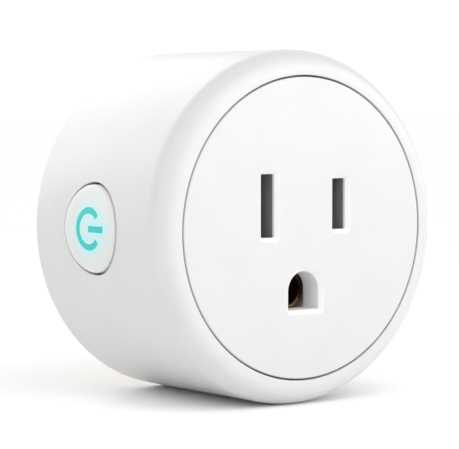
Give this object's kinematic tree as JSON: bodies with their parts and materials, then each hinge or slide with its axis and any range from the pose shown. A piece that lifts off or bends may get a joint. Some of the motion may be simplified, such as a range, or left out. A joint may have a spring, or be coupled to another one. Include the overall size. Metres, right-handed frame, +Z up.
{
  "type": "smart plug",
  "caption": "Round wall adapter with a switched outlet on its front, mains blades and an earth pin behind, and a lit push button on its side.",
  "frame": {"origin": "centre of the rear cover's outer face, the plane that meets the wall outlet", "axes": "+Y along the blades and the earth pin, into the wall; +Z up with the earth pin below; +X to the right seen from the front"},
  "size_m": [0.0497, 0.0518, 0.0494],
  "materials": {
    "white_shell": "fine moulded satin",
    "white_face": "smooth satin",
    "white_cover": "fine moulded satin",
    "label_film": "blank printed film",
    "screw_steel": "zinc plated",
    "blade_brass": "drawn, lightly brushed",
    "pin_brass": "turned",
    "contact_bronze": "rolled strip",
    "carrier_nylon": "moulded nylon",
    "board_green": "solder mask over glass laminate",
    "lead_tin": "tinned",
    "can_sleeve": "shrink sleeve",
    "ferrite": "sintered",
    "copper_wire": "enamelled wire",
    "fuse_brown": "moulded",
    "varistor_blue": "dipped epoxy",
    "chip_black": "moulded epoxy",
    "relay_blue": "moulded",
    "relay_base": "moulded",
    "bobbin_white": "moulded",
    "soft_iron": "nickel plated",
    "contact_copper": "spring copper with silver tips",
    "button_white": "smooth satin",
    "guide_cyan": "lit cyan light guide",
    "switch_black": "moulded",
    "frame_steel": "nickel plated",
    "dome_steel": "spring steel",
    "led_amber": "clear lens",
    "radio_blue": "solder mask over glass laminate",
    "shield_tin": "tin plated",
    "trace_gold": "gold plated trace"
  },
  "bodies": {
    "plug_body": {"main_housing": "white_shell", "face_plate": "white_face", "rear_cover": "white_cover", "rating_label": "label_film", "cover_screws": "screw_steel", "neutral_blade": "blade_brass", "line_blade": "blade_brass", "earth_pin": "pin_brass", "neutral_contact": "contact_bronze", "line_contact": "contact_bronze", "earth_contact": "contact_bronze", "contact_carrier": "carrier_nylon", "main_board": "board_green", "component_leads": "lead_tin", "header_pins": "trace_gold", "bulk_capacitor": "can_sleeve", "output_capacitor": "can_sleeve", "choke_core": "ferrite", "choke_winding": "copper_wire", "micro_fuse": "fuse_brown", "varistor": "varistor_blue", "bridge_rectifier": "chip_black", "converter_chip": "chip_black", "voltage_regulator": "chip_black", "surface_passives": "ferrite", "relay_case": "relay_blue", "relay_base": "relay_base", "relay_bobbin": "bobbin_white", "relay_winding": "copper_wire", "relay_core": "soft_iron", "relay_yoke": "soft_iron", "relay_fixed_contact": "contact_copper", "switch_base": "switch_black", "switch_frame": "frame_steel", "switch_dome": "dome_steel", "switch_board": "board_green", "indicator_leds": "led_amber", "radio_board": "radio_blue", "radio_shield": "shield_tin", "antenna_trace": "trace_gold"},
    "button": {"button_cap": "button_white", "light_guide": "guide_cyan", "switch_plunger": "switch_black"},
    "armature": {"relay_armature": "soft_iron", "relay_moving_contact": "contact_copper"}
  },
  "joints": [
    {"name": "button_press", "type": "slide", "parent": "plug_body", "child": "button", "axis": [1, 0, 0], "range_m": [0, 0.0003], "stiffness_N_per_m": 600, "springref_m": -0.001, "deforming": ["switch_dome"]},
    {"name": "armature_pull", "type": "hinge", "parent": "plug_body", "child": "armature", "pos_m": [0.0016, -0.01906, 0.0134], "axis": [0, 0, -1], "range_deg": [0, 4], "stiffness_Nm_per_rad": 0.002, "springref_deg": -20.05}
  ]
}
